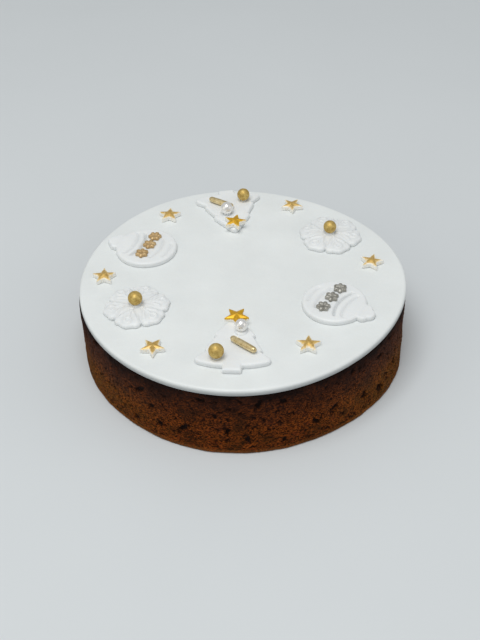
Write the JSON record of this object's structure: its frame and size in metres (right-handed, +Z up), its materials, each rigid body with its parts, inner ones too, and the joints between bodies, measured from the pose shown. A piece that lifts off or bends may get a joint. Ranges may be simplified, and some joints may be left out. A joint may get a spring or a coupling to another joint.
{
  "type": "christmas cake",
  "caption": "Round fruit cake with open baked sides under a flat lid of white icing, set with icing trees, baubles, snowflakes, stars and metallic sugar balls.",
  "frame": {"origin": "under the middle of the cake, on the surface that it stands on", "axes": "+Z up through the cake, -Y towards the tree whose trunk points at the viewer, +X to the viewer's right"},
  "size_m": [0.2055, 0.2052, 0.0611],
  "materials": {
    "fruit_cake_crumb": "baked, rough dark crumb",
    "white_icing": "smooth, soft sheen",
    "white_paste": "smooth, soft sheen",
    "gold_dust": "gold powder brushed on white paste",
    "gold_sugar": "metallic gold glaze on sugar",
    "silver_sugar": "metallic silver glaze on sugar"
  },
  "bodies": {
    "root": {"ball_gold_snowflake_left": "gold_sugar", "ball_gold_snowflake_right": "gold_sugar", "ball_gold_tree_back": "gold_sugar", "ball_gold_tree_front": "gold_sugar", "ball_silver_tree_back": "silver_sugar", "ball_silver_tree_front": "silver_sugar", "bauble_left": "white_paste", "bauble_right": "white_paste", "blossom_gold_1": "gold_sugar", "blossom_gold_2": "gold_sugar", "blossom_gold_3": "gold_sugar", "blossom_silver_1": "silver_sugar", "blossom_silver_2": "silver_sugar", "blossom_silver_3": "silver_sugar", "cake": "fruit_cake_crumb", "icing": "white_icing", "rod_tree_back": "gold_sugar", "rod_tree_front": "gold_sugar", "snowflake_left": "white_paste", "snowflake_right": "white_paste", "star_1": "gold_dust", "star_2": "gold_dust", "star_3": "gold_dust", "star_4": "gold_dust", "star_5": "gold_dust", "star_6": "gold_dust", "star_tree_back": "gold_dust", "star_tree_front": "gold_dust", "tree_back": "white_paste", "tree_front": "white_paste"}
  },
  "joints": []
}
